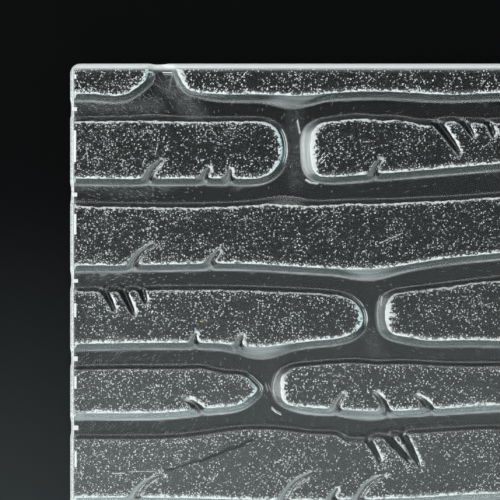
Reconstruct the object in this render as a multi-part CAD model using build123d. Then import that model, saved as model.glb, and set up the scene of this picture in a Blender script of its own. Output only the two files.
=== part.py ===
from build123d import *
import math
import os

# Clear kiln-cast glass panel, lying flat with its relief up.
# The relief is a wall of long rounded pads in staggered courses, parted by
# smooth channels. Sizes are in millimetres.
#
# Plan positions are (u, v): u runs right from the left edge, v runs down from
# the top edge, as one looks at the relief. +X is right, +Y is up the panel and
# +Z points out of the relief. The origin is at the middle of the underside.

# Whole panel
PANEL_W = 305.0       # left to right
PANEL_L = 305.0       # top to bottom
THICKNESS = 12.0      # underside to pad tops
RELIEF = 2.2          # pad tops above the channel floors
CORNER_R = 5.0        # plan radius of the four corners

# Fire-polished rounding of the panel's rim
RIM_TOP_R = 2.8       # along the pads
RIM_CHANNEL_R = 2.0   # where a channel runs out over the rim
RIM_UNDER_R = 1.5     # along the underside

# Reach of a pad's slope from its crease to its foot, by the side it faces
RUN_UPPER = 2.5
RUN_LOWER = 3.5
RUN_LEFT = 5.2
RUN_RIGHT = 3.2
SWELL_HALF = 19.0     # half length of the wider slope across from a joint

# Tapered slits that run from a channel into a pad
SLIT_RISE_W = 3.8     # width of a rising slit where it crosses the pad's crease
SLIT_TIP_W = 0.7
SLIT_FLOOR_SHARE = 0.45   # floor width over top width
SLIT_LEAN = 0.35      # how far the floor sits towards the right bank, over half the width
SLIT_STEP_UP = 0.3    # floor of a slit's mouth above the channel floor
SLIT_TIP_DEPTH = 0.5
SLIT_LEAD = 2.5       # how far the cut reaches back into the channel
SLIT_CLEAR = 1.0      # how far the cut stands above the pad tops
SLIT_RISE_BOW = 0.15  # sideways bow over its length
SLIT_FALL_BOW = 0.02
# Along a slit, from its mouth to its tip: place, share of its width, share of its depth
SLIT_RISE_TAPER = ((0.0, 1.35, 1.0), (0.25, 1.0, 1.0), (0.5, 0.7, 0.9), (0.8, 0.35, 0.6), (1.0, 0.0, 0.0))
SLIT_FALL_TAPER = ((0.0, 1.2, 1.0), (0.25, 1.0, 1.0), (0.6, 0.85, 0.9), (0.88, 0.5, 0.6), (1.0, 0.0, 0.0))

# The rim draws in a little where a channel runs out
DIP_DEPTH = 0.5
DIP_HALF = 6.0

# Drawing aids
OVERRUN = 12.0        # pads that run off the panel are drawn this far past it
SHEET_GROW = 0.2      # the channel sheet is drawn this far past the sides, then trimmed
SINK = RIM_CHANNEL_R + 0.3   # pads are drawn this far below the channel floor
PITCH = 3.5           # spacing of the points along a pad's outline
FLOOR = THICKNESS - RELIEF
LEFT = -OVERRUN
TOP = -OVERRUN
RIGHT = PANEL_W + OVERRUN
BOTTOM = PANEL_L + OVERRUN


def spot(u, v, z):
    """Point of the part from a plan position and a height."""
    return Vector(u - PANEL_W / 2, PANEL_L / 2 - v, z)


def smooth_line(points, closed):
    """Spline through the points. An open one leaves both ends straight on."""
    if closed:
        return Edge.make_spline(points, periodic=True)
    return Edge.make_spline(points, tangents=[points[1] - points[0], points[-1] - points[-2]])


def crease_line(points, closed):
    """Evenly spaced (u, v) with the outward direction, along a smooth line."""
    line = smooth_line([Vector(u, v) for u, v in points], closed)
    count = max(8, round(line.length / PITCH))
    steps = count if closed else count - 1
    found = []
    for i in range(count):
        at = line.position_at(i / steps)
        way = line.tangent_at(i / steps)
        found.append((at.X, at.Y, way.Y, -way.X))
    return found


def moved(u, v, out_u, out_v, swells, spread):
    """Crease point pushed outward by a share of the slope's reach there."""
    along = RUN_RIGHT if out_u > 0 else RUN_LEFT
    across = RUN_LOWER if out_v > 0 else RUN_UPPER
    extra = 0.0
    for swell_u, swell_v, swell in swells:
        far = math.hypot(u - swell_u, v - swell_v) / SWELL_HALF
        if far < 1:
            extra += swell * math.cos(far * math.pi / 2) ** 2
    return u + spread * out_u * (along + extra), v + spread * out_v * (across + extra)


def pad(points, swells=(), corner=None, closed=False):
    """Raised pad. Points follow its crease clockwise; the slope runs out and down.

    An open crease starts and ends past the panel, and corner is the plan
    corner it encloses there.
    """
    line = crease_line(points, closed)
    drop = RELIEF + SINK
    wires = []
    for spread, z in ((drop / RELIEF, THICKNESS - drop), (0.0, THICKNESS)):
        ring = [spot(*moved(*step, swells, spread), z) for step in line]
        edges = [smooth_line(ring, closed)]
        if not closed:
            stops = [ring[-1]] + ([spot(*corner, z)] if corner else []) + [ring[0]]
            edges += [Edge.make_line(a, b) for a, b in zip(stops, stops[1:])]
        wires.append(Wire(edges))
    return Solid.make_loft(wires, ruled=True)


def slit(mouth_u, mouth_v, tip_u, tip_v, full_w, bow, taper):
    """Cutter for one tapered slit, from its mouth in a channel to its tip."""
    way = Vector(tip_u - mouth_u, tip_v - mouth_v)
    length = way.length
    way = way / length
    side = Vector(way.Y, -way.X)
    lean = SLIT_LEAN if side.X > 0 else -SLIT_LEAN
    lead = (-SLIT_LEAD / length,) + taper[0][1:]
    wires = []
    for along, width_share, depth_share in (lead,) + taper:
        inside = max(along, 0.0)
        off = 4 * bow * length * inside * (1 - inside)
        at = Vector(mouth_u, mouth_v) + way * (along * length) + side * off
        half = (SLIT_TIP_W + (full_w - SLIT_TIP_W) * width_share) / 2
        depth = SLIT_TIP_DEPTH + (RELIEF - SLIT_STEP_UP - SLIT_TIP_DEPTH) * depth_share
        low = half * (lean - SLIT_FLOOR_SHARE)
        high = half * (lean + SLIT_FLOOR_SHARE)
        ring = []
        for across, z in (
            (-half - (half + low) * SLIT_CLEAR / depth, THICKNESS + SLIT_CLEAR),
            (low, THICKNESS - depth),
            (high, THICKNESS - depth),
            (half + (half - high) * SLIT_CLEAR / depth, THICKNESS + SLIT_CLEAR),
        ):
            place = at + side * across
            ring.append(spot(place.X, place.Y, z))
        wires.append(Wire.make_polygon(ring, close=True))
    return Solid.make_loft(wires, ruled=True)


def rim_dip(u, v, out_u, out_v):
    """Cutter that draws the rim in at a channel's end, as a shallow round."""
    radius = (DIP_HALF ** 2 + DIP_DEPTH ** 2) / (2 * DIP_DEPTH)
    off = radius - DIP_DEPTH
    at = spot(u + out_u * off, v + out_v * off, -1)
    return Solid.make_cylinder(radius, THICKNESS + 2, Plane(at))


# Raised pads, course by course from the top of the panel
pads = [
    # course 1, cut by the top edge
    pad([(37.6, TOP), (37.8, 0), (39.3, 4.6), (38.6, 7.6), (35.6, 10.4), (31.8, 13.4), (28.6, 15.3),
         (15, 15.4), (LEFT, 15.3)],
        corner=(LEFT, TOP)),
    pad([(254, TOP), (254, 3), (252.5, 9), (248, 13.2), (240, 14.8), (215, 14.6), (190, 15.5), (160, 13.9),
         (140, 14.1), (128, 14.9), (110, 15.6), (90, 15.3), (64, 15.2), (58.6, 13.6), (55.8, 9.8),
         (53.2, 4.8), (51, 0), (50.6, TOP)],
        swells=[(100, 15.7, 4.2)]),
    pad([(RIGHT, 14), (286, 14.4), (276, 14.6), (270, 12.6), (267.6, 8), (266.6, 0), (266.3, TOP)],
        corner=(RIGHT, TOP)),
    # course 2
    pad([(LEFT, 29.6), (20, 29.4), (60, 29.6), (92, 29.4), (101, 30.8), (104.6, 35), (106.2, 41), (106.2, 46),
         (104.4, 51), (101, 54.8), (96, 57.2), (88, 57.7), (60, 57.4), (30, 57.6), (LEFT, 57.3)],
        swells=[(45, 29.5, 1.3)]),
    pad([(RIGHT, 51), (275, 50.5), (240, 49.8), (215, 50.1), (185, 52.6), (163, 54.4), (145, 55.8),
         (132.5, 56.8), (125.2, 56.6), (122.6, 54.6), (121.4, 48.5), (120.9, 38.6), (122.3, 33.3),
         (125.4, 30.5), (133, 29.2), (152, 28.5), (156, 29.6), (160, 28.9), (170, 29.5), (179, 31.7),
         (187, 29.6), (198, 29.8), (215, 30.2), (240, 29.5), (275, 29), (RIGHT, 29.3)]),
    # course 3
    pad([(LEFT, 71.5), (35, 72.6), (60, 72.6), (90, 71.6), (103, 71), (116, 71.9), (133, 71.1), (155, 70.6),
         (180, 69.6), (200, 68.5), (215, 67.2), (227, 66.8), (234.5, 69.2), (238.4, 75), (239, 82),
         (237, 88.6), (231, 92.8), (222, 94.1), (205, 95.6), (180, 98.6), (165, 101.2), (148, 102.6),
         (115, 101.6), (90, 100.1), (65, 100.1), (23, 100.9), (LEFT, 100.9)],
        swells=[(112, 71.6, 2.8), (153, 102.4, 3.0)]),
    pad([(RIGHT, 92.5), (280, 93), (262, 93.3), (254.6, 91), (251.8, 85), (251.5, 77), (253.8, 70.4),
         (260, 67), (275, 66), (RIGHT, 65.5)]),
    # course 4
    pad([(LEFT, 115), (14, 114.6), (37, 114.1), (90, 114.1), (122, 115.4), (136, 116.7), (142.6, 119.6),
         (145.8, 124.4), (146.7, 128.4), (145.6, 131.8), (142.6, 134.6), (137.4, 136.9), (125, 138.4),
         (106, 140.6), (92, 141.4), (78, 140.2), (58, 139.6), (20, 139.9), (LEFT, 140.9)],
        swells=[(99, 141.2, 3.6)]),
    pad([(RIGHT, 139.5), (260, 139), (215, 138.6), (190, 138.4), (176, 138.2), (169.4, 136.7), (163, 136),
         (160.1, 134.2), (158.8, 131), (158.4, 125.5), (159.5, 119), (162, 115.9), (166, 114.9),
         (187, 112.5), (200, 110.8), (215, 109.1), (245, 107.3), (280, 106.5), (RIGHT, 107)]),
    # course 5
    pad([(LEFT, 154.1), (40, 153.5), (62, 153.4), (69.6, 153.9), (74, 155.9), (80, 156.1), (86.6, 156.2),
         (89.2, 157.8), (92, 160.7), (94.4, 163.3), (92.2, 165.6), (89.4, 167.9), (85.6, 170.5), (79, 171.7),
         (68, 172.6), (56, 174), (30, 175), (LEFT, 174.6)]),
    pad([(115.5, 152.2), (128, 151.2), (139, 150.4), (146, 150.5), (152, 151.4), (163, 151), (180, 151.7),
         (215, 152.2), (240, 151.8), (250, 153.4), (255, 157.8), (256.4, 163), (253.8, 168.4), (246, 171.2),
         (232, 171.2), (215, 170.8),
         (190, 172.3), (153, 173.6), (128, 172.6), (114, 171.9), (108.6, 171.2), (106.8, 169.2),
         (106.1, 163), (105.8, 157.6), (108.4, 154.4)], swells=[(141, 173.3, 1.8)], closed=True),
    pad([(RIGHT, 171), (286, 171.4), (276.4, 170), (271, 166), (269.5, 160.5), (271.2, 155.4), (277, 152.4),
         (290, 151.6), (RIGHT, 151.6)]),
    # course 6
    pad([(LEFT, 188.6), (40, 188.6), (60, 187.6), (76, 185.2), (91, 183.8), (110, 184.8), (128, 186.4),
         (135.2, 187.2), (138, 189.8), (142, 190.8), (147, 190.4), (151.4, 188.4), (158, 187), (180, 185.3),
         (205, 183.9), (220, 184.2), (228.6, 187.4), (232.4, 194.4),
         (232.8, 203), (230.2, 210.4), (223, 214), (207, 215.2), (185, 216.5), (150, 218), (110, 218.6),
         (70, 217.6), (30, 217), (LEFT, 217.5)]),
    pad([(RIGHT, 213), (280, 213.5), (258, 213.6), (249.4, 211.2), (246, 205), (245.6, 197), (247.4, 189.4),
         (253, 185), (265, 183.8), (RIGHT, 184)], swells=[(262, 183.9, 1.8)]),
    # course 7
    pad([(LEFT, 231.5), (30, 231.8), (56, 231), (66.6, 232.2), (73, 237), (75.2, 245), (73.4, 253),
         (67, 258.4), (55, 259.8), (25, 259.5), (LEFT, 260)]),
    pad([(99, 231.2), (120, 232.2), (150, 231.5), (176, 230.6), (185.6, 232.8), (190, 238.8), (190.6, 246),
         (188, 253), (180.6, 257.4), (160, 258.6), (130, 259.7), (101, 259), (91.6, 256), (88.2, 249),
         (88.2, 240), (91.2, 233.6)], swells=[(127, 259.6, 3.4)], closed=True),
    pad([(RIGHT, 256.5), (270, 257.5), (240, 258), (213.6, 257.4), (206, 254), (203.6, 246), (204.4, 237),
         (209.6, 231), (222, 229.6), (255, 229), (RIGHT, 228)],
        swells=[(238, 229.3, 2.0), (258, 257.7, 3.0)]),
    # course 8, cut by the bottom edge
    pad([(LEFT, 274), (35, 273.8), (75, 273), (107, 273.3), (118.4, 275.4), (124, 281), (125.5, 290),
         (125.5, 305), (125.5, BOTTOM)], swells=[(82, 273, 2.2)], corner=(LEFT, BOTTOM)),
    pad([(139.5, BOTTOM), (139.5, 305), (139.2, 290), (141, 280), (147.4, 274.4), (160, 272.8), (200, 272),
         (234, 272.3), (245, 274.2), (250.4, 280), (251.5, 290), (251.5, 305), (251.5, BOTTOM)],
        swells=[(197, 272, 2.2)]),
    pad([(265.5, BOTTOM), (265.5, 305), (265.2, 290), (267, 279), (273, 273), (285, 271.4), (RIGHT, 271)],
        corner=(RIGHT, BOTTOM)),
]

# Slits that rise from the channel below a pad: mouth (u, v), then tip (u, v)
rising = [
    (38.3, 60.8, 47.8, 48.2), (66.8, 60.8, 70.8, 51.8), (80.3, 60.8, 81.0, 52.4),
    (151.8, 59.0, 156.8, 47.6), (252.0, 53.0, 260.0, 42.0),
    (30.3, 104.2, 43.3, 90.4), (69.3, 103.8, 76.3, 93.2), (272.0, 96.4, 281.0, 85.0),
    (62.8, 143.6, 63.6, 134.4), (84.3, 145.4, 87.3, 135.6), (262.0, 142.4, 268.0, 131.0),
    (132.8, 177.0, 138.3, 165.0),
    (30.3, 220.4, 46.8, 206.4), (105.3, 221.6, 124.3, 204.4), (130.8, 221.4, 134.8, 212.0),
    (142.8, 221.4, 157.8, 206.4), (268.0, 216.8, 279.0, 204.0),
    (34.0, 263.0, 43.0, 249.0), (112.0, 262.6, 120.0, 250.0), (226.0, 261.4, 236.0, 248.4),
]
# The same, leaning the other way
rising_back = [
    (66.5, 176.6, 55.0, 168.4), (158.3, 177.0, 151.0, 164.2), (180.8, 176.2, 172.0, 166.4),
    (288.0, 174.8, 282.6, 165.0),
]
# Slits that fall from the channel above a pad, with each one's own width at the crease
falling = [
    (181.0, 27.2, 196.0, 47.0, 4.0), (195.0, 26.8, 202.6, 38.2, 3.4), (208.4, 27.2, 212.8, 38.6, 3.0),
    (15.4, 111.8, 23.0, 125.4, 2.9), (24.6, 111.4, 32.6, 128.0, 3.4), (34.8, 111.4, 38.4, 121.8, 3.4),
    (238.0, 105.0, 247.0, 118.0, 3.6),
    (147.4, 186.4, 156.0, 201.0, 2.8), (156.0, 184.6, 171.0, 201.2, 3.4), (165.6, 184.4, 175.4, 203.4, 3.0),
    (158.6, 228.4, 167.4, 242.8, 3.7), (262.0, 226.4, 270.0, 240.0, 3.2),
    (60.0, 270.8, 68.0, 285.0, 3.6), (172.0, 270.0, 182.0, 284.0, 3.2),
]
slits = [slit(*line, SLIT_RISE_W, SLIT_RISE_BOW, SLIT_RISE_TAPER) for line in rising]
slits += [slit(*line, SLIT_RISE_W, -SLIT_RISE_BOW, SLIT_RISE_TAPER) for line in rising_back]
slits += [slit(*line, SLIT_FALL_BOW, SLIT_FALL_TAPER) for line in falling]

# Where the channels run out over the rim
dips = [rim_dip(0, v, -1, 0) for v in (22.9, 65.0, 109.0, 147.8, 182.5, 225.5, 268.0)]
dips += [rim_dip(PANEL_W, v, 1, 0) for v in (22.0, 58.5, 100.0, 146.0, 178.0, 221.0, 264.0)]
dips += [rim_dip(u, 0, 0, -1) for u in (44.5, 260.0)]
dips += [rim_dip(u, PANEL_L, 0, 1) for u in (132.5, 258.5)]


def rounded_sheet(height, grow, top_r, under_r):
    """Flat sheet with the panel's plan, or a little past it, and rounded rims."""
    plan = RectangleRounded(PANEL_W + 2 * grow, PANEL_L + 2 * grow, CORNER_R + grow)
    sheet = extrude(plan, height).solid()
    sheet = sheet.fillet(top_r, sheet.faces().sort_by(Axis.Z)[-1].edges())
    if under_r:
        sheet = sheet.fillet(under_r, sheet.faces().sort_by(Axis.Z)[0].edges())
    return sheet


blank = rounded_sheet(THICKNESS, 0, RIM_TOP_R, RIM_UNDER_R)
channel_sheet = rounded_sheet(FLOOR, SHEET_GROW, RIM_CHANNEL_R, 0)
glass = blank & channel_sheet.fuse(*pads)
panel = glass.solids().sort_by(SortBy.VOLUME)[-1].cut(*slits, *dips)
panel = panel.solids().sort_by(SortBy.VOLUME)[-1]
panel.label = "glass_panel"

os.makedirs("parts", exist_ok=True)
export_step(panel, "parts/glass_panel.step")
print("volume mm3", round(panel.volume), "box", panel.bounding_box())
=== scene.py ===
import math

import bpy
import numpy as np
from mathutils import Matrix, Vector
from mathutils.bvhtree import BVHTree
from mathutils.kdtree import KDTree


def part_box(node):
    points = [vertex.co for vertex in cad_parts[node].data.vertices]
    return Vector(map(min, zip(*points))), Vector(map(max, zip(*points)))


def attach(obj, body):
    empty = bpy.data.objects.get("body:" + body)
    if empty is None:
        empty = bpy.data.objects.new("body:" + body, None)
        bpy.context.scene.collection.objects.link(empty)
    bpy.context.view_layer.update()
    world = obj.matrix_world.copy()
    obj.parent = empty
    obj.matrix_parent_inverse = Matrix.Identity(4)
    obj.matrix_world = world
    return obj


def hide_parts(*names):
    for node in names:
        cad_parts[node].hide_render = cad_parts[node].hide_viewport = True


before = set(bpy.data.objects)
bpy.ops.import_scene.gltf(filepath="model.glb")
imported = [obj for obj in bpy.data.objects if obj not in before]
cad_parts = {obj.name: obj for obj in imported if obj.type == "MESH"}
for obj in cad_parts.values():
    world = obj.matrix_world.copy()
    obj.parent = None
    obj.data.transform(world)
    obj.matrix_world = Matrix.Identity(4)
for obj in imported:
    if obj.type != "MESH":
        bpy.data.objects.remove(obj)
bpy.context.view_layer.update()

MM = 0.001
NODE = "glass_panel"
LOW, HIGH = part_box(NODE)
HALF_W = HIGH.x
HALF_L = HIGH.y
TOP = HIGH.z

# The relief
RELIEF = 2.2 * MM         # pad tops above the channel floors
FLOOR_Z = TOP - RELIEF
CORNER = 5.0 * MM         # plan radius of the corners
UNDER_R = 1.5 * MM        # rounding along the underside
RIM_REACH = 3.0 * MM      # how far inside the outline the rim's rounding is felt
CREASE_DROP = 0.25 * MM   # a pad's crease lies where its slope is this far down
SLIT_DROP = 0.45 * MM     # ground this far below the pad tops counts as not raised

# The mesh
STEP = 0.6 * MM           # spacing of the fine grid
RIM_LINES = (0.0, 0.08 * MM, 0.22 * MM)   # closer lines beside the rim, from the outline
FACE_BUDGET = 190000      # triangles kept after thinning
BUSY_STEEP = 0.10         # where the ground is steeper than this, the mesh is thinned last
FAR_OFF = 20.0            # stands for the sides and underside, in mm outside the creases

# Firing
CROWN = 0.15 * MM         # fall of a pad's top towards its crease
LUMP = 0.02 * MM          # lumps of the pads and ripples of the channels
CHIP = 0.10 * MM          # ragged loss along the creases

# Where the photograph looks: the panel point at its middle, from the left and top edges
AIM_U = 90.25 * MM
AIM_V = 93.6 * MM
VIEW_W = 250.0 * MM       # width of the view at the pad tops
LENS = 85.0
SENSOR = 36.0

# Shares of painted sheen on the slopes down the panel, each at v in mm from the top edge
LOWER_SHEEN = ((0, 0.02), (60, 0.05), (100, 0.055), (142, 0.055), (175, 0.21), (305, 0.23))
LEFT_SHEEN = ((0, 0.22), (43, 0.45), (100, 0.24), (127, 0.095), (162, 0.19), (305, 0.24))
SWELL_SHEEN = ((30, 0.21), (100, 0.29), (140, 0.265))
UPPER_SHEEN = ((160, 0.0), (190, 0.025))
RIGHT_SHEEN = 0.04
SLIT_SHEEN = 0.20
# Strength of the painted shade in the slits, at v in mm from the top edge
PIT_DARKNESS = ((130, 1.0), (175, 0.38))
# Factor of the lower slopes' painted sheen, at u in mm from the left edge
SHEEN_ACROSS = ((20, 1.12), (140, 0.70))


def smooth_step(x, low, high):
    t = np.clip((x - low) / (high - low), 0.0, 1.0)
    return t * t * (3 - 2 * t)


def looked_up(place, table):
    """Value at each place, between the rows of a table of place and value."""
    return np.interp(place, *np.transpose(table))


def blurred(field, passes):
    """Field after repeated 1-2-1 smoothing both ways, edges held."""
    for _ in range(passes):
        wide = np.pad(field, 1, mode="edge")
        field = (wide[:-2, 1:-1] + 2 * wide[1:-1, 1:-1] + wide[2:, 1:-1]) / 4
        wide = np.pad(field, 1, mode="edge")
        field = (wide[1:-1, :-2] + 2 * wide[1:-1, 1:-1] + wide[1:-1, 2:]) / 4
    return field


def largest_beside(field, ways):
    """Largest value among the neighbours that lie the given ways, edges held."""
    rows, cols = field.shape
    wide = np.pad(field, 1, mode="edge")
    return np.maximum.reduce([wide[1 + dj:1 + dj + rows, 1 + di:1 + di + cols] for dj, di in ways])


def widened(field, rounds):
    """Largest value round about, up to two grid steps away in each round."""
    for _ in range(rounds):
        field = largest_beside(field, ((-1, 0), (1, 0), (0, -1), (0, 1)))
        field = np.maximum(field, largest_beside(field, ((-1, -1), (1, 1), (-1, 1), (1, -1))))
    return field


def cloud(rng, xs, ys, cell):
    """Smooth random field over the grid, about -1 to 1, with lumps of one cell."""
    nx = int(2 * HALF_W / cell) + 4
    ny = int(2 * HALF_L / cell) + 4
    knots = rng.uniform(-1, 1, (ny, nx))
    px = (xs + HALF_W) / cell + 1
    py = (ys + HALF_L) / cell + 1
    ix = np.floor(px).astype(int)
    iy = np.floor(py).astype(int)
    fx = smooth_step(px - ix, 0, 1)
    fy = smooth_step(py - iy, 0, 1)
    low = knots[iy, ix] * (1 - fx) + knots[iy, ix + 1] * fx
    high = knots[iy + 1, ix] * (1 - fx) + knots[iy + 1, ix + 1] * fx
    return low * (1 - fy) + high * fy


def grid_line(half):
    """Positions along one side, closer together beside the rim."""
    near = np.array(RIM_LINES)
    inner = np.linspace(-half + STEP, half - STEP, round(2 * half / STEP) - 1)
    return np.concatenate([-half + near, inner, (half - near)[::-1]])


def bent_corners(xs, ys):
    """Plan of the grid with each corner square bent into a quarter disc."""
    a = np.clip((np.abs(xs) - (HALF_W - CORNER)) / CORNER, 0, 1)
    b = np.clip((np.abs(ys) - (HALF_L - CORNER)) / CORNER, 0, 1)
    corner = (a > 0) & (b > 0)
    bent_x = np.sign(xs) * (HALF_W - CORNER + CORNER * a * np.sqrt(1 - b * b / 2))
    bent_y = np.sign(ys) * (HALF_L - CORNER + CORNER * b * np.sqrt(1 - a * a / 2))
    return np.where(corner, bent_x, xs), np.where(corner, bent_y, ys)


def rim_shift(tree, start, way, half, across):
    """How far each place on a line across the panel moves in with the rim that a ray meets."""
    hit = tree.ray_cast(start, way)[0]
    inset = abs(half - abs(hit.dot(way))) if hit is not None else 0.0
    if inset < 0.001 * MM:
        return 0.0
    return inset * np.clip(1 - (half - across) / RIM_REACH, 0, 1)


def draw_in_rim(tree, xs, ys, plan_x, plan_y):
    """Draws the plan in where a channel runs out over the rim."""
    look_z = TOP * 0.4
    for sign in (-1, 1):
        for j, y in enumerate(ys[:, 0]):
            if abs(y) <= HALF_L - CORNER:
                start, way = Vector((sign, y, look_z)), Vector((-sign, 0, 0))
                plan_x[j] -= sign * rim_shift(tree, start, way, HALF_W, sign * xs[j])
        for i, x in enumerate(xs[0]):
            if abs(x) <= HALF_W - CORNER:
                start, way = Vector((x, sign, look_z)), Vector((0, -sign, 0))
                plan_y[:, i] -= sign * rim_shift(tree, start, way, HALF_L, sign * ys[:, i])


def surface_grid(tree):
    """Plan and height of the relief side on a fine grid that follows the panel's outline."""
    xs, ys = np.meshgrid(grid_line(HALF_W), grid_line(HALF_L))
    plan_x, plan_y = bent_corners(xs, ys)
    draw_in_rim(tree, xs, ys, plan_x, plan_y)

    shy = 1 - 0.01 * MM / HALF_W     # rays start a hair inside the outline
    down = Vector((0, 0, -1))
    height = np.empty(xs.shape)
    for j, i in np.ndindex(xs.shape):
        hit = tree.ray_cast(Vector((plan_x[j, i] * shy, plan_y[j, i] * shy, 1)), down)[0]
        height[j, i] = hit.z if hit is not None else FLOOR_Z
    return xs, ys, plan_x, plan_y, height


def evened(height, free, rounds):
    """Height with its level lines smoothed along themselves; slopes keep their steepness."""
    limit = 0.12 / MM
    pace = 0.2 * STEP * STEP
    for _ in range(rounds):
        wide = np.pad(height, 1, mode="edge")
        east, west, north, south = wide[1:-1, 2:], wide[1:-1, :-2], wide[2:, 1:-1], wide[:-2, 1:-1]
        cross = (wide[2:, 2:] - wide[2:, :-2] - wide[:-2, 2:] + wide[:-2, :-2]) / (4 * STEP * STEP)
        gx = (east - west) / (2 * STEP)
        gy = (north - south) / (2 * STEP)
        gxx = (east - 2 * height + west) / (STEP * STEP)
        gyy = (north - 2 * height + south) / (STEP * STEP)
        steep = np.sqrt(gx * gx + gy * gy) + 0.01
        bend = (gxx * gy * gy - 2 * cross * gx * gy + gyy * gx * gx) / steep ** 3
        height = height + free * pace * steep * np.clip(bend, -limit, limit)
    return height


def rim_distance(xs, ys):
    """Distance inside the outline, with the corners left square."""
    return np.minimum(HALF_W - np.abs(xs), HALF_L - np.abs(ys))


def pad_over_rim(rim, height):
    """Where a pad runs out over the rim, so that the rim's rounding isn't taken for a slope."""
    return (rim < RIM_REACH) & (height > FLOOR_Z + 0.5 * RELIEF - 0.5 * (RIM_REACH - rim))


def worked_height(xs, ys, height):
    """Height after firing: softened creases, gently crowned pads, ripples in the channels."""
    rng = np.random.default_rng(11)
    rim = rim_distance(xs, ys)
    inside = smooth_step(rim, 2.0 * MM, 4.5 * MM)
    soft = blurred(evened(height, inside, 40), 1)
    pad_height = np.where(height > TOP - 0.3 * MM, TOP, height)
    wide = blurred(np.where(pad_over_rim(rim, height), TOP, pad_height), 18)
    edge = smooth_step((TOP - wide) / RELIEF, 0.02, 0.42)
    pad = smooth_step(soft, TOP - 0.9 * MM, TOP - 0.25 * MM)
    crown = CROWN * edge * pad * inside
    lumps = LUMP * (1 + cloud(rng, xs, ys, 11 * MM))
    ragged = smooth_step(cloud(rng, xs, ys, 1.7 * MM) + 0.6 * cloud(rng, xs, ys, 4.0 * MM), -0.2, 1.1)
    on_top = smooth_step(soft, TOP - 0.30 * MM, TOP - 0.08 * MM)
    chips = CHIP * ragged * smooth_step(edge, 0.6, 1.0) * on_top * inside
    ripple = LUMP * (1 + cloud(rng, xs, ys, 16 * MM)) * (1 - pad)
    worked = soft - crown - (pad * lumps + ripple) * inside - chips
    return np.minimum(worked, TOP)


def crossings(level, fields):
    """The fields' values at each spot where the level passes through zero along a grid line."""
    rows, cols = level.shape
    found = []
    for dj, di in ((1, 0), (0, 1)):
        here, there = level[:rows - dj, :cols - di], level[dj:, di:]
        j, i = np.nonzero((here > 0) != (there > 0))
        share = here[j, i] / (here[j, i] - there[j, i])
        found.append([f[j, i] + share * (f[j + dj, i + di] - f[j, i]) for f in fields])
    return np.concatenate(found, axis=1)


def nearest(px, py, xs, ys):
    """For each grid place, the number of the point nearest to it."""
    tree = KDTree(len(px))
    for k, (x, y) in enumerate(zip(px.tolist(), py.tolist())):
        tree.insert((x, y, 0), k)
    tree.balance()
    found = [tree.find((x, y, 0))[1] for x, y in zip(xs.ravel().tolist(), ys.ravel().tolist())]
    return np.array(found).reshape(xs.shape)


def crease_map(xs, ys, height, slit):
    """How far each spot lies outside the nearest crease, the way that faces, and if it is a slit's."""
    plan = np.where(pad_over_rim(rim_distance(xs, ys), height), TOP, height)
    level = plan - (TOP - CREASE_DROP)
    gy, gx = np.gradient(blurred(plan, 2), STEP)
    px, py, gx, gy, in_slit = crossings(level, (xs, ys, gx, gy, slit))
    steep = np.hypot(gx, gy) + 1e-9
    out_x, out_y = -gx / steep, -gy / steep

    near = nearest(px, py, xs, ys)
    dx, dy = xs - px[near], ys - py[near]
    far = np.hypot(dx, dy)
    square = dx * out_x[near] + dy * out_y[near]
    off = square + (np.where(level > 0, -far, far) - square) * smooth_step(far, 0.8 * MM, 1.6 * MM)
    in_slit = smooth_step(in_slit[near], 0.2, 0.6)
    return blurred(off, 1), blurred(out_x[near], 3), blurred(out_y[near], 3), blurred(in_slit, 2)


def slit_map(height):
    """One in the slits: low ground so narrow that it vanishes when the pads are widened."""
    raised = (height > TOP - SLIT_DROP).astype(float)
    closed = 1 - widened(1 - widened(raised, 4), 4)
    return np.clip(blurred(widened(np.clip(closed - raised, 0, 1), 1), 1), 0, 1)


def facing_shares(x, y):
    """Shares of facing left, right, down the panel and up it."""
    return [np.maximum(way, 0) ** 2 for way in (-x, x, -y, y)]


def slope_sheen_share(u, v, faces, gentle, slit, lit_bank):
    """Share of painted sheen on the slopes, by the way they face, and on the lit banks of the slits."""
    left, right, down, up = faces
    lower = looked_up(v, LOWER_SHEEN) * looked_up(u, SHEEN_ACROSS)
    sheen = lower * down + looked_up(v, SWELL_SHEEN) * gentle
    sheen += looked_up(v, LEFT_SHEEN) * left + RIGHT_SHEEN * right
    sheen += looked_up(v, UPPER_SHEEN) * up
    return sheen * (1 - slit) + (SLIT_SHEEN + lower) * lit_bank * slit


def line_fields(xs, ys, height, slit, mouth, gentle):
    """Looks of the lines along the creases, by the way that each crease faces: mostly painted highlights and
    painted reflection colour.
    """
    off, out_x, out_y, in_slit = crease_map(xs, ys, height, slit)
    left, right, down, up = facing_shares(out_x, out_y)
    open_ground, not_slit = 1 - slit, 1 - in_slit
    high_up = smooth_step((HALF_L - ys) / MM, 140, 90)
    overhang = smooth_step(-(out_x + out_y) / math.sqrt(2), 0.2, 0.8)
    shine = 0.95 * down + left + right + (0.14 + 0.70 * high_up) * up
    reach = (0.72 - 0.20 * high_up) * down + 1.7 * left + 1.5 * right + 0.55 * up
    # painted cool reflection colour on the slopes and right-hand creases
    cool_sheen = 0.5 * down * (1 - 0.6 * gentle) + 0.3 * right + 0.2 * left
    return {
        "off": off / MM,
        "fray": 0.30 + 0.45 * up + 0.25 * up * (1 - high_up),
        "reach": reach * not_slit + (0.40 + 0.50 * overhang) * in_slit,
        "shine": shine * not_slit + (0.30 + 0.65 * overhang) * in_slit * mouth,
        "solid": left * not_slit,
        "skirt": down * (0.45 + 0.55 * (1 - high_up)) * not_slit,
        "foot": (0.05 * up + 0.04 * high_up * down + 0.35 * left) * open_ground * not_slit,
        "upper": smooth_step(up, 0.3, 0.8) * not_slit,
        "lower": smooth_step(down, 0.3, 0.8) * high_up,
        "arc": right * smooth_step(out_y, -0.6, 0.0) * open_ground,
        "cool_sheen": cool_sheen * open_ground,
        "cyan": right * open_ground,
    }


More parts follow.
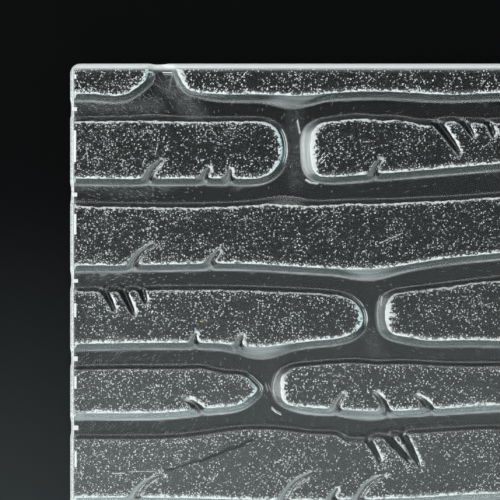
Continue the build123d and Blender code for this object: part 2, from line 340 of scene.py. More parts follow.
def crease_fields(xs, ys, height):
    """Painted highlights, sheen and shade of the creases, slopes and slits, by the way they face, and where
    the mesh stays fine.
    """
    gy, gx = np.gradient(blurred(height, 3), STEP)
    steep = np.sqrt(gx * gx + gy * gy)
    face_x = -gx / (steep + 1e-4)
    face_y = -gy / (steep + 1e-4)
    faces = facing_shares(face_x, face_y)
    facing_down = faces[2]
    slope = smooth_step(steep, 0.07, 0.20)
    gentle = facing_down * smooth_step(steep, 0.52, 0.30)

    slit = slit_map(height)
    slit_depth = blurred(widened((TOP - height) * (slit > 0.3), 3), 2)
    mouth = smooth_step(slit_depth, 0.7 * MM, 1.5 * MM)
    lit_bank = smooth_step((face_x - face_y) / math.sqrt(2), 0.3, 0.8)
    dark_bank = smooth_step(-face_x, 0.2, 0.7) * smooth_step(face_y, -0.1, 0.3)

    u, v = (HALF_W + xs) / MM, (HALF_L - ys) / MM
    fields = line_fields(xs, ys, height, slit, mouth, gentle)
    # painted light and shade: cool sheen colour, white sheen on the slopes, white streaks on the slit banks,
    # dark slits
    fields["cool_sheen"] += 0.3 * facing_down * slit
    fields["slope_sheen"] = slope_sheen_share(u, v, faces, gentle, slit, lit_bank) * slope
    fields["bank"] = slit * mouth * dark_bank * slope
    fields["pit"] = smooth_step(slit, 0.3, 0.7) * (1 - lit_bank) * looked_up(v, PIT_DARKNESS)
    busy = widened((steep > BUSY_STEEP).astype(float), 1)
    return fields, busy


def border_walk(rows, cols):
    """Grid indices once round the border, anticlockwise seen from above."""
    walk = [(0, i) for i in range(cols - 1)]
    walk += [(j, cols - 1) for j in range(rows - 1)]
    walk += [(rows - 1, i) for i in range(cols - 1, 0, -1)]
    walk += [(j, 0) for j in range(rows - 1, 0, -1)]
    return walk


def side_rings(outline):
    """Rings of points down the sides and round to the underside, below the relief's outline."""
    ahead = np.roll(outline, -1, 0)[:, :2] - np.roll(outline, 1, 0)[:, :2]
    ahead /= np.linalg.norm(ahead, axis=1)[:, None]
    inward = np.stack([-ahead[:, 1], ahead[:, 0]], -1)
    rings = []
    for turn in (0, 30, 60, 90):
        angle = math.radians(turn)
        inset = UNDER_R * (1 - math.cos(angle))
        z = UNDER_R * (1 - math.sin(angle))
        rings.append(np.column_stack([outline[:, :2] + inward * inset, np.full(len(outline), z)]))
    return rings


def panel_mesh(plan_x, plan_y, height, fields):
    """Closed mesh: the worked relief, straight sides and the flat underside."""
    rows, cols = height.shape
    verts = np.stack([plan_x, plan_y, height], -1).reshape(-1, 3)
    index = np.arange(rows * cols).reshape(rows, cols)
    corners = (index[:-1, :-1], index[:-1, 1:], index[1:, 1:], index[1:, :-1])
    faces = [np.stack(corners, -1).reshape(-1, 4)]

    above = np.array([index[j, i] for j, i in border_walk(rows, cols)])
    for ring in side_rings(verts[above]):
        here = len(verts) + np.arange(len(ring))
        verts = np.vstack([verts, ring])
        faces.append(np.stack([above, here, np.roll(here, -1), np.roll(above, -1)], -1))
        above = here
    faces = np.vstack(faces).tolist()
    faces.append(above[::-1].tolist())

    mesh = bpy.data.meshes.new("cast_panel")
    mesh.from_pydata(verts.tolist(), [], faces)
    mesh.shade_smooth()
    mesh.polygons[-1].use_smooth = False
    for name, field in fields.items():
        layer = mesh.attributes.new(name, "FLOAT", "POINT")
        below = np.full(len(verts) - field.size, FAR_OFF if name == "off" else 0.0)
        layer.data.foreach_set("value", np.concatenate([field.ravel(), below]))
    mesh.update()
    return mesh


def decimated(piece, group=""):
    """Mesh of the piece brought down to the budget, or as near as the named group of vertices allows."""
    triangles = sum(len(p.vertices) - 2 for p in piece.data.polygons)
    thin = piece.modifiers.new("thin", "DECIMATE")
    thin.ratio = min(1.0, FACE_BUDGET / triangles)
    thin.vertex_group = group
    thin.use_collapse_triangulate = True
    done = bpy.data.meshes.new_from_object(piece.evaluated_get(bpy.context.evaluated_depsgraph_get()))
    piece.modifiers.clear()
    return done


def thinned(piece, busy):
    """The piece thinned out: first its flat stretches, then wherever that changes the shape least."""
    flats = np.flatnonzero(busy.ravel() < 0.5).tolist()
    piece.vertex_groups.new(name="flats").add(flats, 1.0, "REPLACE")
    piece.data = decimated(piece, "flats")
    piece.data = decimated(piece)
    piece.vertex_groups.clear()
    for vertex in piece.data.vertices:
        vertex.co = [min(max(at, low), high) for at, low, high in zip(vertex.co, LOW, HIGH)]
    return piece


def build_panel():
    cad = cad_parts[NODE]
    co = [v.co for v in cad.data.vertices]
    tree = BVHTree.FromPolygons(co, [p.vertices for p in cad.data.polygons])
    xs, ys, plan_x, plan_y, height = surface_grid(tree)
    height = worked_height(xs, ys, height)
    fields, busy = crease_fields(xs, ys, height)
    mesh = panel_mesh(plan_x, plan_y, height, fields)
    piece = bpy.data.objects.new("cast_panel", mesh)
    bpy.context.scene.collection.objects.link(piece)
    return thinned(piece, busy)


def panel_spot(u, v):
    """Plan place, in metres, of a point given in mm from the left and top edges."""
    return -HALF_W + u * MM, HALF_L - v * MM


class Graph:
    """Short calls for a material's nodes."""

    def __init__(self, tree):
        self.tree = tree

    def put(self, socket, value):
        if isinstance(value, bpy.types.NodeSocket):
            self.tree.links.new(value, socket)
        else:
            socket.default_value = value

    def math(self, kind, *values):
        node = self.tree.nodes.new("ShaderNodeMath")
        node.operation = kind
        for socket, value in zip(node.inputs, values):
            self.put(socket, value)
        return node.outputs[0]

    def chain(self, kind, first, *others):
        """All the values joined by one kind of sum, from left to right."""
        for other in others:
            first = self.math(kind, first, other)
        return first

    def times(self, *values):
        return self.chain("MULTIPLY", *values)

    def most(self, *values):
        return self.chain("MAXIMUM", *values)

    def rest(self, share):
        """What a share leaves of one."""
        return self.math("SUBTRACT", 1.0, share)

    def ramp(self, value, low, high, to_low=0.0, to_high=1.0):
        node = self.tree.nodes.new("ShaderNodeMapRange")
        node.interpolation_type = "SMOOTHSTEP"
        for name, given in (
            ("Value", value),
            ("From Min", low),
            ("From Max", high),
            ("To Min", to_low),
            ("To Max", to_high),
        ):
            self.put(node.inputs[name], given)
        return node.outputs[0]

    def band(self, value, start, full, full_to, stop):
        """One between two limits, fading out to nothing beyond them."""
        return self.times(self.ramp(value, start, full), self.ramp(value, full_to, stop, 1.0, 0.0))

    def noise_node(self, place, size, detail=2.0, rough=0.5):
        node = self.tree.nodes.new("ShaderNodeTexNoise")
        self.put(node.inputs["Vector"], place)
        node.inputs["Scale"].default_value = 1 / size
        node.inputs["Detail"].default_value = detail
        node.inputs["Roughness"].default_value = rough
        return node

    def noise(self, place, size, detail=2.0, rough=0.5):
        return self.noise_node(place, size, detail, rough).outputs["Fac"]

    def vector(self, kind, *values):
        node = self.tree.nodes.new("ShaderNodeVectorMath")
        node.operation = kind
        for socket, value in zip(node.inputs, values):
            self.put(socket, value)
        return node.outputs["Value" if kind in ("DOT_PRODUCT", "DISTANCE") else "Vector"]

    def joined(self, x, y, z=0.0):
        node = self.tree.nodes.new("ShaderNodeCombineXYZ")
        for socket, value in zip(node.inputs, (x, y, z)):
            self.put(socket, value)
        return node.outputs[0]

    def split(self, vector):
        node = self.tree.nodes.new("ShaderNodeSeparateXYZ")
        self.put(node.inputs[0], vector)
        return node.outputs

    def coordinate(self, name):
        return self.tree.nodes.new("ShaderNodeTexCoord").outputs[name]

    def field(self, name):
        node = self.tree.nodes.new("ShaderNodeAttribute")
        node.attribute_name = name
        return node.outputs["Fac"]

    def stroke(self, place, u, v, to_u, to_v, half, core=0.4):
        """One on a straight line, given in mm as on the panel, fading out from its core share."""
        start = Vector(panel_spot(u, v))
        way = Vector(panel_spot(to_u, to_v)) - start
        from_start = self.vector("SUBTRACT", place, (*start, 0))
        along = self.vector("DOT_PRODUCT", from_start, (*way / way.length_squared, 0))
        along = self.math("MINIMUM", self.math("MAXIMUM", along, 0.0), 1.0)
        there = self.joined(self.times(along, way.x), self.times(along, way.y))
        off = self.vector("DISTANCE", from_start, there)
        return self.ramp(off, half * core * MM, half * MM, 1.0, 0.0)

    def drifted(self, place, size, far, middle=0.5):
        """Place shifted in the plan by smooth noise of the given size, by how far that is off its middle."""
        drift = self.vector("SUBTRACT", self.noise_node(place, size).outputs["Color"], (middle,) * 3)
        return self.vector("ADD", place, self.vector("MULTIPLY", drift, (far, far, 0)))

    def cells(self, place, size):
        """Distance from the nearest of the scattered points in the plan, and its two random values."""
        node = self.tree.nodes.new("ShaderNodeTexVoronoi")
        node.voronoi_dimensions = "2D"
        self.put(node.inputs["Vector"], place)
        node.inputs["Scale"].default_value = 1 / size
        colour = self.tree.nodes.new("ShaderNodeSeparateColor")
        self.put(colour.inputs[0], node.outputs["Color"])
        return node.outputs["Distance"], colour.outputs[0], colour.outputs[1]

    def bump(self, height, depth, strength):
        node = self.tree.nodes.new("ShaderNodeBump")
        self.put(node.inputs["Height"], height)
        self.put(node.inputs["Strength"], strength)
        node.inputs["Distance"].default_value = depth
        return node.outputs["Normal"]

    def blend(self, share, low, high):
        node = self.tree.nodes.new("ShaderNodeMix")
        node.data_type = "RGBA"
        self.put(node.inputs["Factor"], share)
        self.put(node.inputs[6], low)
        self.put(node.inputs[7], high)
        return node.outputs[2]


# Painted glints just inside the left rim: from u to u, from v to v, in mm
RIM_GLINTS = (
    (2.1, 3.3, 33.8, 49.6), (2.2, 3.4, 75.6, 85.8), (2.3, 3.4, 120.2, 127.2), (2.4, 3.5, 156.8, 163.0),
    (2.5, 3.6, 194.2, 202.2), (2.4, 3.4, 5.8, 8.0),
    (1.0, 3.4, 21.9, 23.9), (1.2, 3.5, 64.8, 66.8), (1.3, 3.9, 108.2, 110.0), (1.5, 3.8, 147.0, 149.4),
    (1.4, 4.1, 181.7, 184.0), (1.4, 3.8, 224.4, 226.6), (1.4, 3.8, 267.0, 269.0),
    (2.4, 3.5, 238.0, 247.0), (2.4, 3.5, 282.0, 290.0),
)
RIM_GLINT_SOFT = 0.12 * MM     # half the width over which a painted glint's border fades
# Fine white scratches on the pads: u, v, to u, v, half width, in mm, and strength
SCRATCHES = (
    (8.3, 41.0, 9.2, 50.0, 0.35, 0.45), (44.2, 40.2, 42.9, 46.0, 0.40, 0.40),
    (27.0, 48.6, 25.9, 51.4, 0.45, 0.60), (11.6, 82.8, 15.5, 85.0, 0.30, 0.35),
    (155.2, 90.2, 166.4, 85.2, 0.45, 0.50), (21.1, 205.4, 27.6, 205.2, 0.40, 0.75),
    (30.2, 204.5, 47.0, 204.1, 0.35, 0.55), (120.4, 79.0, 124.2, 76.2, 0.35, 0.40),
    (124.6, 49.2, 126.6, 47.0, 0.30, 0.90), (125.8, 50.2, 127.6, 48.4, 0.30, 0.90),
    (127.4, 47.4, 129.2, 45.8, 0.28, 0.80), (126.0, 46.6, 127.6, 45.0, 0.28, 0.80),
)
# Bright glints beside the feet of the left ends, in the channels, in the same way
GLINTS = (
    (38.9, 4.5, 41.2, 4.5, 0.40, 0.90), (46.6, 4.5, 51.0, 4.6, 0.40, 0.90),
    (114.1, 28.4, 115.4, 34.8, 0.35, 0.75), (118.4, 58.2, 120.6, 59.6, 0.40, 0.95),
    (120.6, 59.6, 124.4, 60.2, 0.35, 0.85), (101.3, 173.3, 103.3, 175.1, 0.45, 0.95),
    (103.3, 175.1, 105.8, 176.3, 0.35, 0.85), (98.1, 161.2, 99.2, 164.5, 0.35, 0.35),
    (99.6, 161.6, 100.5, 164.1, 0.30, 0.30), (156.4, 117.0, 155.8, 121.5, 0.35, 0.55),
    (86.8, 250.2, 88.6, 255.4, 0.40, 0.80),
)
# Dusty mist lying in the channels, in the same way
MISTS = (
    (6.0, 20.5, 42.0, 21.0, 8.0, 0.16), (50.0, 12.0, 63.0, 26.0, 10.0, 0.18),
    (113.0, 26.0, 113.6, 60.0, 8.5, 0.11), (4.0, 63.0, 40.0, 63.5, 5.0, 0.10),
    (4.0, 107.0, 28.0, 107.5, 5.0, 0.07), (150.0, 136.0, 154.0, 147.0, 8.0, 0.10),
    (100.0, 152.0, 100.0, 166.0, 6.0, 0.05), (245.0, 70.0, 245.5, 96.0, 7.0, 0.12),
    (260.0, 4.0, 260.5, 26.0, 7.0, 0.10),
)
# Clear dark folds across the pads: u, v, to u, v, half width, in mm
FOLDS = (
    (91.8, 188.6, 79.0, 193.2, 1.3), (79.0, 193.2, 66.0, 199.0, 1.2), (66.0, 199.0, 50.0, 203.6, 0.8),
    (49.2, 46.5, 55.0, 42.0, 0.9),
)
RUSTY_GRAIN = (66.25, 129.35, 66.45, 129.35, 0.6)

# Sizes of the cells that hold one grain each
FINE_CELL = 0.70 * MM
BIG_CELL = 1.15 * MM
DUST_CELL = 1.1 * MM

GLASS_IOR = 1.5
GLASS_ROUGH = 0.03
PAD_ROUGH = 0.17          # added on the pads
SLOPE_ROUGH = 0.22        # added on the slopes
GRAIN_DEPTH = 0.12 * MM
# strength of the painted highlight along the creases
CREASE_HIGHLIGHT = 0.95
RUST_SHARE = 0.7
CLEAR = (0.93, 0.97, 0.965, 1)
# cool colour of the painted reflections on the slopes and in the right-hand creases
CYAN = (0.62, 0.90, 0.91, 1)
# dark grey of the painted shade in the slits
PIT_GREY = (0.10, 0.11, 0.11, 1)
RUST = (0.80, 0.50, 0.14, 1)


class Glass:
    """The cast glass, part by part. Each part gives its share of frosted grain, of painted light or shade,
    or of gloss, over the surface.
    """

    def __init__(self):
        self.mat = bpy.data.materials.new("cast_glass")
        self.mat.use_nodes = True
        g = self.g = Graph(self.mat.node_tree)
        self.place = g.coordinate("Object")
        self.plan = g.vector("MULTIPLY", self.place, (1, 1, 0))
        self.x, self.y, z = g.split(self.place)
        self.deep = g.math("SUBTRACT", TOP, z)
        self.contour = g.joined(self.deep, g.times(self.x, 0.02), g.times(self.y, 0.02))
        self.in_x = g.math("SUBTRACT", HALF_W, g.math("ABSOLUTE", self.x))
        self.in_y = g.math("SUBTRACT", HALF_L, g.math("ABSOLUTE", self.y))
        inside = g.math("MINIMUM", self.in_x, g.math("SUBTRACT", self.in_y, 0.8 * MM))
        self.flat = g.ramp(inside, 1.9 * MM, 2.6 * MM)
        self.rightward = self.across(20, 150)

        # distance outside the crease in mm: as it is, waved, and more or less ragged
        small_wobble = g.math("SUBTRACT", g.noise(self.place, 2.6 * MM, 3.0, 0.6), 0.5)
        wide_wobble = g.math("SUBTRACT", g.noise(self.place, 8 * MM, 1.0), 0.5)
        wobble = g.math("ADD", g.times(small_wobble, 2.8), g.times(wide_wobble, 0.9))
        self.raw = g.field("off")
        self.waved = g.math("ADD", self.raw, g.times(wide_wobble, 0.6))
        self.off = g.math("ADD", self.raw, wobble)
        self.edge = g.math("ADD", self.raw, g.times(wobble, g.field("fray")))
        self.pad = g.ramp(self.edge, -0.15, 0.10, 1.0, 0.0)
        self.upper = g.field("upper")

    def down(self, v, to_v, value, to_value):
        """Value that changes between two places down the panel, in mm from its top edge."""
        return self.g.ramp(self.y, HALF_L - v * MM, HALF_L - to_v * MM, value, to_value)

    def across(self, u, to_u, value=0.0, to_value=1.0):
        """Value that changes between two places across the panel, in mm from its left edge."""
        return self.g.ramp(self.x, -HALF_W + u * MM, -HALF_W + to_u * MM, value, to_value)

    def crease(self):
        """Painted highlight along the creases, weighted by the way each crease faces: broken by the mould,
        but solid round the left ends.
        """
        g = self.g
        solid = g.field("solid")
        shallow = g.math("SUBTRACT", -0.4, g.times(solid, 0.6))
        back = g.ramp(g.noise(self.place, 1.7 * MM, 2.0), 0.35, 0.65, shallow, -2.2)
        back = g.times(g.field("reach"), back)
        core = g.ramp(self.off, g.times(back, 1.15), g.times(back, 0.55))
        core = g.times(core, g.ramp(self.edge, 0.15, 0.35, 1.0, 0.0))
        broken = g.ramp(g.noise(self.place, 2.1 * MM, 3.0, 0.65), 0.32, 0.52, 0.22, 1.0)
        return g.times(core, g.most(broken, solid), g.field("shine"), self.flat, CREASE_HIGHLIGHT)

    def foot_lines(self):
        """Painted highlights: lines along the foot of the slopes, and the thin double arcs round the right
        ends.
        """
        g = self.g
        foot = g.times(g.band(self.deep, 1.72 * MM, 1.84 * MM, 1.96 * MM, 2.06 * MM), g.field("foot"))
        high_arc = g.band(self.deep, 0.98 * MM, 1.08 * MM, 1.24 * MM, 1.36 * MM)
        low_arc = g.band(self.deep, 1.58 * MM, 1.70 * MM, 1.92 * MM, 2.04 * MM)
        gaps = g.ramp(g.noise(self.place, 7 * MM, 1.0), 0.36, 0.50, 0.10, 1.0)
        arc = g.times(g.math("ADD", high_arc, low_arc), gaps, g.field("arc"))
        tone = g.ramp(g.noise(self.place, 12 * MM, 1.0), 0.35, 0.60, 0.03, 0.06)
        line = g.times(g.band(self.waved, 2.25, 2.55, 2.95, 3.25), tone, self.upper, self.flat)
        return g.most(foot, arc, line)

    def painted_slope_sheen(self):
        """Painted sheen on the slopes, by the way they face, with faint lines along them."""
        g = self.g
        lines = g.ramp(g.noise(self.contour, 0.45 * MM, 1.0), 0.3, 0.7, 0.75, 1.2)
        return g.times(g.field("slope_sheen"), lines, g.ramp(self.edge, 0.0, 0.4), self.flat)

    def slit_bank(self):
        """Painted highlights: streaky white on the banks of the slits."""
        g = self.g
        streaks = g.ramp(g.noise(self.contour, 0.28 * MM, 2.0, 0.6), 0.44, 0.60)
        flecks = g.ramp(g.noise(self.place, 1.0 * MM, 2.0), 0.35, 0.60, 0.15, 1.0)
        return g.times(g.field("bank"), streaks, flecks)

    def grains(self, cells, crowd, picked, dot, tones):
        """One grain in each picked cell: how crowded they are, how wide, and how white."""
        g = self.g
        far, pick, tone = cells
        on = g.ramp(g.math("ADD", pick, crowd), *picked)
        return g.times(on, g.ramp(far, *dot, 1.0, 0.0), g.ramp(tone, *tones))

    def veil(self):
        """Finest grain of the pads, with painted light: stronger down the panel and along the lower creases.
        """
        g = self.g
        veil = g.ramp(g.noise(self.place, 0.5 * MM, 2.0, 0.7), 0.40, 0.78, 0.0, 0.38)
        veil = g.times(veil, g.rest(g.times(self.rightward, 0.35)), self.down(90, 210, 0.02, 1.0))
        skirt = g.times(g.ramp(self.off, -2.6, -0.4), g.field("skirt"))
        cloudy = g.ramp(g.noise(self.place, 1.1 * MM, 2.0), 0.35, 0.65, 0.08, 0.40)
        return g.math("ADD", veil, g.times(skirt, cloudy))

    def pad_grain(self, fine_cells, big_cells):
        """White grains, scattered over the pads and crowded beside the creases."""
        g = self.g
        near = g.ramp(self.off, -3.2, -0.3)
        patch = g.ramp(g.noise(self.place, 13 * MM, 2.0), 0.3, 0.7, 0.16, 0.42)
        crowd = g.math("ADD", g.times(near, 0.34), patch)
        crowd = g.math("SUBTRACT", crowd, g.times(self.rightward, 0.07))
        # painted light: the grains whiter down the panel and towards the top edge
        painted_glow = g.math("ADD", self.down(60, 180, 1.0, 1.22), self.down(34, 16, 0.0, 0.45))
        fine = self.grains(fine_cells, crowd, (0.95, 1.05), (0.24, 0.50), (0.2, 1.0, 0.06, 0.95))
        few = g.times(crowd, 0.45)
        big = self.grains(big_cells, few, (0.99, 1.05), (0.14, 0.34), (0.0, 1.0, 0.40, 1.0))
        specks = g.math("MINIMUM", g.times(g.most(fine, big), painted_glow), 1.0)
        return g.most(specks, self.veil())

    def marked(self, grain):
        """The pads' grain with its clear folds and its scratches."""
        g = self.g
        curvy = g.drifted(self.plan, 6 * MM, 5 * MM)
        for fold in FOLDS:
            grain = g.times(grain, g.rest(g.stroke(curvy, *fold, core=0.2)))
        patchy = g.ramp(g.noise(self.place, 1.2 * MM, 2.0), 0.38, 0.56, 0.45, 1.0)
        for *line, strength in SCRATCHES:
            grain = g.most(grain, g.times(g.stroke(self.plan, *line), patchy, strength))
        return g.times(grain, self.pad, self.flat)

    def mist(self):
        """Patches of dusty mist."""
        g = self.g
        misty = g.drifted(self.plan, 14 * MM, 9 * MM)
        patches = [g.times(g.stroke(misty, *line, core=0.0), strength) for *line, strength in MISTS]
        speckled = g.ramp(g.noise(self.place, 0.5 * MM, 2.0, 0.6), 0.50, 0.66, 0.10, 1.3)
        return g.times(g.most(*patches), speckled)

    def channel_dust_and_painted_glints(self):
        """Dust in the channels, denser towards the left edge, over a faint white that grows down the panel,
        and the painted glints.
        """
        g = self.g
        far, pick, _ = g.cells(self.place, DUST_CELL)
        on = g.ramp(g.math("ADD", pick, self.across(0, 90, 0.22, 0.03)), 0.98, 1.02)
        dots = g.times(on, g.ramp(far, 0.12, 0.30, 0.36, 0.0))
        uneven = g.ramp(g.noise(self.place, 6 * MM, 2.0), 0.3, 0.7, 0.7, 1.3)
        faint_white = g.times(self.down(20, 190, 0.003, 0.018), uneven)
        low_ground = g.ramp(self.deep, 1.0 * MM, 1.8 * MM)
        dust = g.times(g.most(dots, self.mist(), faint_white), self.flat, low_ground)
        glints = [g.times(g.stroke(self.plan, *line), strength) for *line, strength in GLINTS]
        return g.most(dust, *glints)

    def rim(self):
        """Painted edge light over the satin rim, a more even white along its border."""
        g = self.g
        ring = g.most(
            g.ramp(self.in_x, 1.7 * MM, 2.2 * MM, 1.0, 0.0),
            g.ramp(self.in_y, 1.6 * MM, 4.2 * MM, 1.0, 0.0),
        )
        border = g.most(
            g.ramp(self.in_x, 0.3 * MM, 0.7 * MM, 1.0, 0.0),
            g.ramp(self.in_x, 1.3 * MM, 1.7 * MM),
            g.ramp(self.in_y, 2.6 * MM, 3.4 * MM, 1.0, 0.0),
        )
        least = g.ramp(border, 0.0, 1.0, 0.48, 0.96)
        tone = g.ramp(g.noise(self.place, 0.8 * MM, 2.0), 0.3, 0.7, least, 1.0)
        return g.times(ring, g.ramp(self.deep, 1.5 * MM, 5.0 * MM, 1.0, 0.25), tone)

    def within(self, value, low, high):
        """One between two limits, with a soft border on them."""
        g = self.g
        off = g.math("ABSOLUTE", g.math("SUBTRACT", value, (low + high) / 2))
        half = (high - low) / 2
        return g.ramp(off, half - RIM_GLINT_SOFT, half + RIM_GLINT_SOFT, 1.0, 0.0)

    def rim_glints(self):
        """Painted glints inside the left rim, on the relief side only."""
        g = self.g
        found = []
        for left, right, head, tail in RIM_GLINTS:
            in_x = self.within(self.x, -HALF_W + left * MM, -HALF_W + right * MM)
            in_y = self.within(self.y, HALF_L - tail * MM, HALF_L - head * MM)
            found.append(g.times(in_x, in_y))
        return g.times(g.most(*found), g.ramp(self.deep, 2.6 * MM, 3.2 * MM, 1.0, 0.0))

    def pit(self, bank):
        """Painted shade: slits that give back no light, apart from their streaky banks."""
        g = self.g
        full = self.down(140, 175, 0.7, 1.5)
        return g.times(g.field("pit"), self.flat, g.ramp(self.edge, 0.2, full), g.rest(bank))

    def dulled(self, pit):
        """Gloss lost in the slits, along the upper slopes, at the lower slopes' feet and on the pads."""
        g = self.g
        upper = g.times(g.band(self.raw, -1.2, -0.6, 3.2, 3.8), self.upper, 0.90)
        lower = g.times(g.band(self.raw, 2.4, 3.0, 4.4, 5.0), g.field("lower"), 0.45)
        pads = g.times(self.pad, self.down(110, 180, 0.40, 0.0), self.flat)
        return g.most(pit, upper, lower, pads)

    def roughness(self):
        """A little satin on the pads and down the slopes."""
        g = self.g
        slopes = g.times(g.ramp(self.edge, 0.1, 0.4), g.ramp(self.raw, 3.2, 4.4, 1.0, 0.0))
        satin = g.most(g.times(self.pad, PAD_ROUGH), g.times(slopes, SLOPE_ROUGH))
        return g.math("ADD", g.times(satin, self.flat), GLASS_ROUGH)

    def relief(self, fine_far):
        """Normal of the grained pads; the rest is nearly smooth."""
        g = self.g
        height = g.math("ADD", fine_far, g.noise(self.place, 0.8 * MM, 3.0, 0.6))
        strength = g.math("ADD", g.times(self.pad, self.flat, 0.5), 0.01)
        return g.bump(height, GRAIN_DEPTH, strength)

    def colour(self, pit, rust):
        """Painted cool reflection colour on the slopes and in the right-hand creases, painted shade as dark
        grey in the slits, and the rusty grain.
        """
        g = self.g
        above_foot = g.ramp(self.deep, 1.9 * MM, 2.15 * MM, 1.0, 0.0)
        slopes = g.times(g.field("cool_sheen"), g.ramp(self.edge, 0.20, 0.60), above_foot)
        ends = g.times(g.field("cyan"), g.band(self.raw, -1.40, -0.40, 0.4, 0.8))
        cyan_sheen = g.times(g.most(slopes, ends), self.flat, g.ramp(self.raw, 4.0, 4.6, 1.0, 0.0))
        colour = g.blend(cyan_sheen, CLEAR, CYAN)
        colour = g.blend(g.ramp(pit, 0.2, 0.9), colour, PIT_GREY)
        return g.blend(rust, colour, RUST)

    def finished(self):
        g = self.g
        bent = g.drifted(self.place, 1.3 * MM, 1.2 * MM, 0.0)
        fine_cells = g.cells(bent, FINE_CELL)
        big_cells = g.cells(bent, BIG_CELL)
        bank = self.slit_bank()
        pit = self.pit(bank)
        rust = g.stroke(self.plan, *RUSTY_GRAIN)
        # frosted grain, dust and rust, together with painted highlights, sheen, glints and edge light
        frost_and_painted_light = g.most(
            self.marked(self.pad_grain(fine_cells, big_cells)),
            self.crease(),
            self.channel_dust_and_painted_glints(),
            self.foot_lines(),
            self.painted_slope_sheen(),
            bank,
            self.rim(),
            self.rim_glints(),
            g.times(rust, RUST_SHARE),
        )
        glass = self.mat.node_tree.nodes["Principled BSDF"]
        g.put(glass.inputs["Base Color"], self.colour(pit, rust))
        g.put(glass.inputs["Roughness"], self.roughness())
        g.put(glass.inputs["Normal"], self.relief(fine_cells[0]))
        g.put(glass.inputs["Specular IOR Level"], g.times(g.rest(self.dulled(pit)), 0.5))
        g.put(glass.inputs["Transmission Weight"], g.rest(frost_and_painted_light))
        glass.inputs["IOR"].default_value = GLASS_IOR
        return self.mat


def plain_material(name, colour, rough):
    mat = bpy.data.materials.new(name)
    mat.use_nodes = True
    shader = mat.node_tree.nodes["Principled BSDF"]
    shader.inputs["Base Color"].default_value = (*colour, 1)
    shader.inputs["Roughness"].default_value = rough
    return mat


def card_material():
    """Matt dark card, with painted light: a little lighter towards the foot of the panel."""
    mat = plain_material("dark_card", (0.01, 0.01, 0.01), 0.95)
    g = Graph(mat.node_tree)
    shader = mat.node_tree.nodes["Principled BSDF"]
    shader.inputs["Specular IOR Level"].default_value = 0.0
    down = g.ramp(g.split(g.coordinate("Object"))["Y"], HALF_L - 40 * MM, -HALF_L + 15 * MM)
    g.put(shader.inputs["Base Color"], g.blend(down, (0.0048, 0.0050, 0.0052, 1), (0.038, 0.043, 0.045, 1)))
    return mat


def slab(name, half_x, half_y, low, high, material):
    """Flat staged block under the panel."""
    corners = [(sx * half_x, sy * half_y) for sx, sy in ((-1, -1), (1, -1), (1, 1), (-1, 1))]
    verts = [(x, y, z) for z in (low, high) for x, y in corners]
    faces = [(3, 2, 1, 0), (4, 5, 6, 7)] + [(i, (i + 1) % 4, (i + 1) % 4 + 4, i + 4) for i in range(4)]
    mesh = bpy.data.meshes.new(name)
    mesh.from_pydata(verts, [], faces)
    mesh.materials.append(material)
    block = bpy.data.objects.new(name, mesh)
    bpy.context.scene.collection.objects.link(block)
    return block


def add_stage():
    card_t = 1.0 * MM
    gap = 0.05 * MM
    margin = 60 * MM
    floor_half = 3.0
    floor_t = 20 * MM
    slab("card", HALF_W + margin, HALF_L + margin, -card_t, -gap, card_material())
    pale = plain_material("pale_floor", (0.72, 0.72, 0.71), 0.8)
    slab("floor", floor_half, floor_half, -card_t - floor_t, -card_t, pale)


COOL = (0.86, 1.0, 0.99)
WHITE = (1.0, 1.0, 1.0)
# Soft lights round the panel: azimuth (0 stands below its foot, 90 at its right) and elevation in degrees,
# width and height in metres, radiance and colour
LAMPS = {
    "foot_low": (0, 11, 1.70, 0.34, 4.6, COOL),
    "foot_mid": (0, 23.5, 1.40, 0.20, 2.1, COOL),
    "foot_up": (0, 35, 1.10, 0.30, 1.0, COOL),
    "head": (180, 48, 0.90, 0.42, 2.8, WHITE),
    "left": (-90, 45, 1.20, 0.42, 4.8, WHITE),
    "right": (90, 32, 0.40, 0.26, 5, WHITE),
}
LAMP_FAR = 1.2            # distance of the lights from the panel

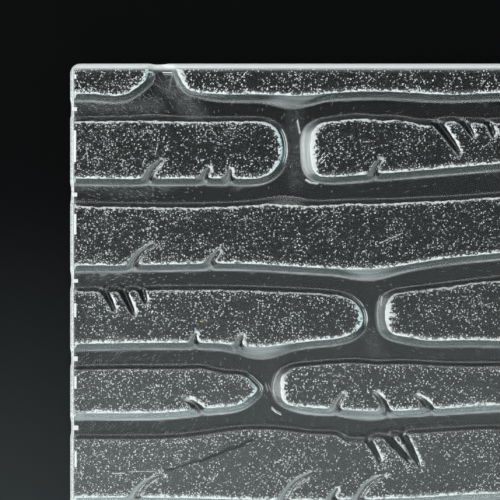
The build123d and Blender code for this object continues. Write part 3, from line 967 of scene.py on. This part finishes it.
# World: dim all round, brighter overhead towards the foot, and pale where the camera sees it
DIM = (0.14, 0.15, 0.15, 1)
OVERHEAD = (0.52, 0.56, 0.57, 1)
PALE = (0.80, 0.80, 0.80, 1)


def softbox(name, azimuth, elevation, size_x, size_y, radiance, colour):
    """Rectangular soft light facing the panel."""
    data = bpy.data.lights.new(name, "AREA")
    data.shape = "RECTANGLE"
    data.size = size_x
    data.size_y = size_y
    data.energy = radiance * size_x * size_y * math.pi
    data.color = colour
    lamp = bpy.data.objects.new(name, data)
    a = math.radians(azimuth)
    e = math.radians(elevation)
    way = Vector((math.sin(a) * math.cos(e), -math.cos(a) * math.cos(e), math.sin(e)))
    lamp.location = way * LAMP_FAR
    lamp.rotation_mode = "QUATERNION"
    lamp.rotation_quaternion = way.to_track_quat("Z", "Y")
    lamp.visible_camera = False
    bpy.context.scene.collection.objects.link(lamp)
    return lamp


def add_world():
    world = bpy.data.worlds.new("studio")
    bpy.context.scene.world = world
    world.use_nodes = True
    g = Graph(world.node_tree)
    back = world.node_tree.nodes["Background"]
    seen = world.node_tree.nodes.new("ShaderNodeLightPath").outputs["Is Camera Ray"]
    way = g.split(g.coordinate("Generated"))
    overhead = g.blend(g.ramp(way["Y"], 0.25, -0.20), DIM, OVERHEAD)
    soft = g.blend(g.ramp(way["Z"], 0.84, 0.95), DIM, overhead)
    g.put(back.inputs["Color"], g.blend(seen, soft, PALE))
    back.inputs["Strength"].default_value = 1.0


def add_camera():
    data = bpy.data.cameras.new("camera")
    data.lens = LENS
    data.sensor_width = SENSOR
    cam = bpy.data.objects.new("camera", data)
    cam.location = (-HALF_W + AIM_U, HALF_L - AIM_V, TOP + VIEW_W * LENS / SENSOR)
    bpy.context.scene.collection.objects.link(cam)
    bpy.context.scene.camera = cam


def main():
    bpy.context.scene.view_settings.view_transform = "Standard"
    add_camera()
    for name, lamp in LAMPS.items():
        softbox(name, *lamp)
    add_world()
    add_stage()
    panel = build_panel()
    panel.data.materials.clear()
    panel.data.materials.append(Glass().finished())
    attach(panel, "root")
    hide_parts(NODE)


main()
